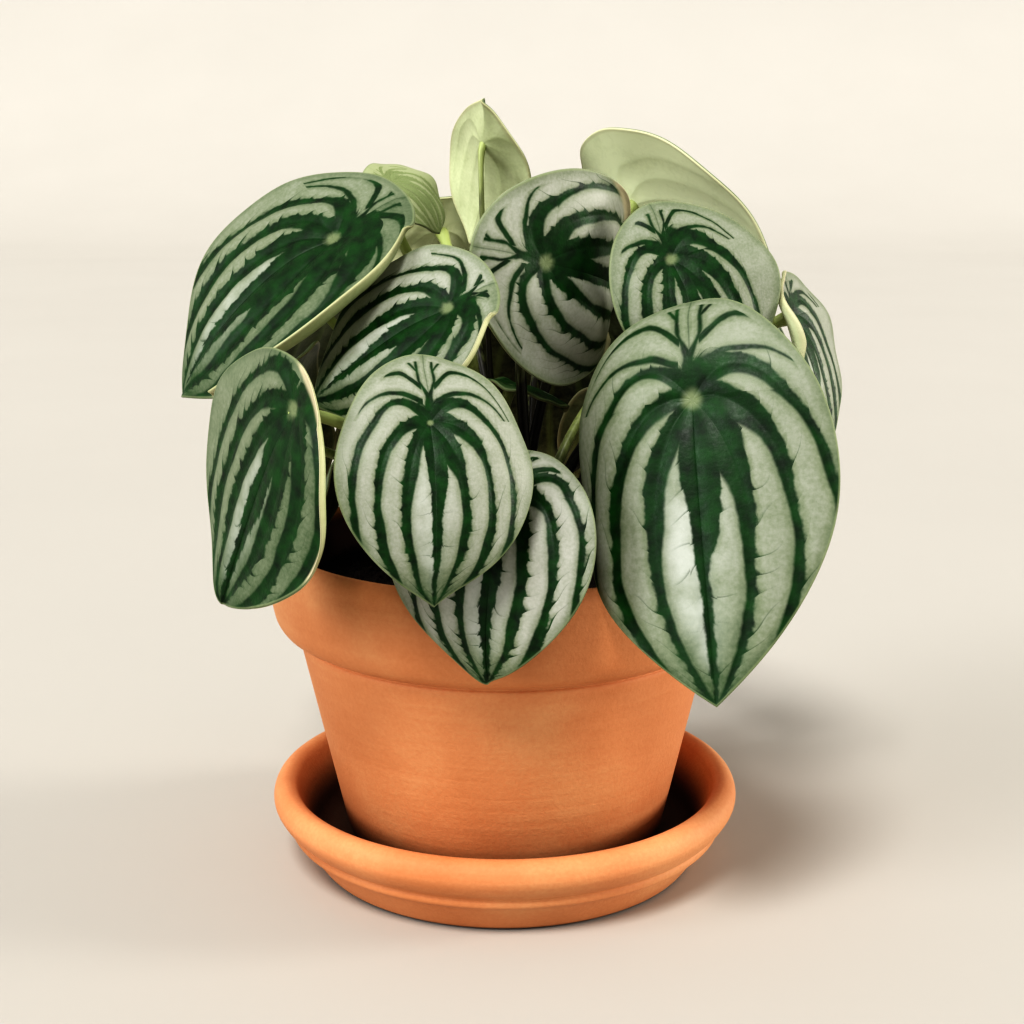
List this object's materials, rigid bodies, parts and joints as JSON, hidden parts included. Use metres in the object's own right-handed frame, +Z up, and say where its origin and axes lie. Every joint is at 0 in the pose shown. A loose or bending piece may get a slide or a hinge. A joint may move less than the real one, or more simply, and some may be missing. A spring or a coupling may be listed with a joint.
{
  "type": "potted peperomia",
  "caption": "Watermelon peperomia with striped silver and green leaves on long stalks, in a terracotta pot on a matching saucer.",
  "frame": {"origin": "on the ground under the middle of the saucer", "axes": "+Z up; -Y towards the front of the plant, where its largest leaf hangs; +X to the right"},
  "size_m": [0.178, 0.1981, 0.2113],
  "materials": {
    "terracotta": "matte unglazed terracotta",
    "potting_mix": null,
    "stem": null,
    "leaf": "semi-gloss fleshy leaf, dark green with silver bands, matte pale green below"
  },
  "bodies": {
    "root": {"saucer": "terracotta", "pot": "terracotta", "soil": "potting_mix", "crown_left": "stem", "crown_right": "stem", "crown_back": "stem", "leaf_front_right": "leaf", "leaf_front_left": "leaf", "leaf_front_low": "leaf", "leaf_left_high": "leaf", "leaf_left_middle": "leaf", "leaf_left_low": "leaf", "leaf_middle_high": "leaf", "leaf_right_high": "leaf", "leaf_right_edge": "leaf", "leaf_back_right_high": "leaf", "leaf_back_young": "leaf", "leaf_left_young": "leaf", "leaf_back_left_high": "leaf", "leaf_back_middle": "leaf", "leaf_back_left": "leaf", "leaf_back_right": "leaf", "leaf_left_side": "leaf", "leaf_right_side": "leaf", "leaf_back_left_low": "leaf", "leaf_back_right_low": "leaf", "leaf_inner_back": "leaf", "leaf_left_side_low": "leaf", "leaf_right_back": "leaf", "leaf_right_side_low": "leaf", "leaf_back_high": "leaf", "leaf_back_left_side": "leaf", "leaf_back_right_side": "leaf", "leaf_inner_left": "leaf"}
  },
  "joints": []
}
